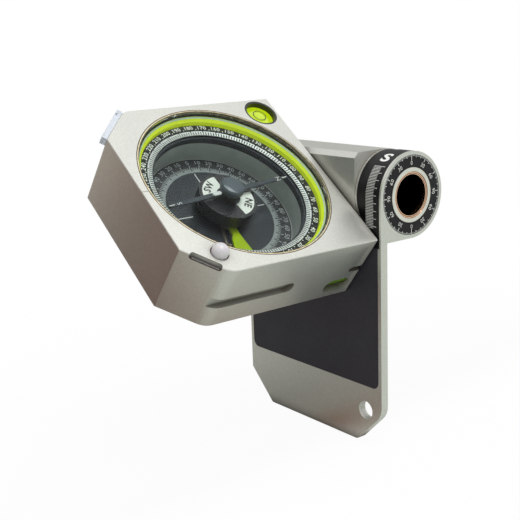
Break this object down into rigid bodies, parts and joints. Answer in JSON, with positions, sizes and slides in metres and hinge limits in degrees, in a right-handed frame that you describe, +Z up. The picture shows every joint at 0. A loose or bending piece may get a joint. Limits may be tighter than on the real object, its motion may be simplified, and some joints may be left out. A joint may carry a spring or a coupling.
{
  "type": "geological compass",
  "caption": "Geological compass with a square metal case, a flat measuring plate on a hollow cross hinge, a round glazed dial, spirit levels and a slope pointer",
  "frame": {"origin": "middle of the hollow hinge, where the axis of the hinge and the axis of the case's swivel cross", "axes": "+X runs along the hollow hinge towards the right-hand ear, +Y runs along the swivel away from the case, +Z is up: the plate hangs down from the hinge and the case stands out level along -Y, rolled 38 degrees on its swivel with its right side down"},
  "size_m": [0.0813, 0.1146, 0.1322],
  "materials": {
    "silver_body": "matt blasted and clear anodised",
    "black_facing": "smooth black facing",
    "black_scale": "black anodised with white graduations",
    "copper": "bright copper, turned",
    "bright_steel": "turned bright",
    "black_collar": "satin black",
    "gold_bezel": "lacquered thin brass",
    "clear_glass": "flat clear glass",
    "black_rubber": "soft black",
    "green_plastic": "fluorescent yellow green",
    "grey_plastic": "moulded grey",
    "slate_dial": "printed slate grey and black",
    "black_hub": "black with white windows",
    "green_spirit": "clear vial of green spirit",
    "dull_brass": "tumbled",
    "blued_steel": "blued, one half painted white",
    "slate_cap": "slate blue paint",
    "ruby": "polished red",
    "white_plastic": "smooth white",
    "white_paint": "white paint",
    "milky_plastic": "translucent bluish white"
  },
  "bodies": {
    "measuring_lid": {"plate": "silver_body", "plate_facing": "black_facing", "band_right": "black_scale", "band_left": "black_scale", "end_dial_right": "black_scale", "end_dial_left": "black_scale"},
    "cross_beam": {"hinge_beam": "silver_body", "hollow_shaft": "copper", "ring_nut_right": "bright_steel", "ring_nut_left": "bright_steel", "collar_right": "black_collar", "collar_left": "black_collar", "washer_right": "bright_steel", "washer_left": "bright_steel", "swivel_stud": "bright_steel", "swivel_washer": "black_collar"},
    "compass_case": {"case": "silver_body", "base_cover": "silver_body", "cover_screws": "bright_steel", "bezel": "gold_bezel", "glass": "clear_glass", "glass_gasket": "black_rubber", "green_ring": "green_plastic", "capsule": "grey_plastic", "lower_dial": "slate_dial", "hub": "black_hub", "pivot_post": "bright_steel", "level_cup": "black_hub", "level_vial": "green_spirit", "tube_vial": "green_spirit", "tube_plug": "black_collar", "clear_strip": "milky_plastic", "pin_spring": "bright_steel", "lever_pin": "bright_steel"},
    "azimuth_dial": {"azimuth_ring": "black_scale"},
    "clinometer": {"pendulum": "dull_brass", "slope_pointer": "green_plastic"},
    "magnet_needle": {"needle": "blued_steel", "needle_clip": "white_paint", "needle_cap": "slate_cap", "needle_jewel": "ruby"},
    "lock_button": {"lock_pin": "white_plastic"},
    "brake_lever": {"lift_lever": "dull_brass"},
    "brake_sleeve": {"lift_sleeve": "dull_brass"}
  },
  "joints": [
    {"name": "lid_hinge", "type": "hinge", "parent": "measuring_lid", "child": "cross_beam", "pos_m": [0, 0, 0], "axis": [-1, 0, 0], "range_deg": [0, 210]},
    {"name": "case_swivel", "type": "hinge", "parent": "cross_beam", "child": "compass_case", "pos_m": [0, -0.0169, 0], "axis": [0, 1, 0], "range_deg": [-128, 52]},
    {"name": "azimuth_turn", "type": "hinge", "parent": "compass_case", "child": "azimuth_dial", "pos_m": [0, -0.0569, 0], "axis": [0.6157, 0, 0.788], "continuous": true},
    {"name": "needle_turn", "type": "hinge", "parent": "compass_case", "child": "magnet_needle", "pos_m": [0, -0.0569, 0], "axis": [0.6157, 0, 0.788], "continuous": true},
    {"name": "clinometer_swing", "type": "hinge", "parent": "compass_case", "child": "clinometer", "pos_m": [0, -0.0569, 0], "axis": [0.6157, 0, 0.788], "continuous": true},
    {"name": "button_press", "type": "slide", "parent": "compass_case", "child": "lock_button", "axis": [-0.6157, 0, -0.788], "range_m": [0, 0.0012], "stiffness_N_per_m": 600, "springref_m": -0.001},
    {"name": "lever_tip", "type": "hinge", "parent": "compass_case", "child": "brake_lever", "pos_m": [0.00621, -0.0705, -0.01805], "axis": [0.5103, 0.762, -0.3987], "range_deg": [0, 3.5]},
    {"name": "sleeve_rise", "type": "slide", "parent": "compass_case", "child": "brake_sleeve", "axis": [0.6157, 0, 0.788], "range_m": [0, 0.0013]}
  ],
  "couplings": [
    {"joint": "lever_tip", "follows": "button_press", "rad_per_m": 49.81},
    {"joint": "sleeve_rise", "follows": "button_press", "ratio": 1.046}
  ]
}
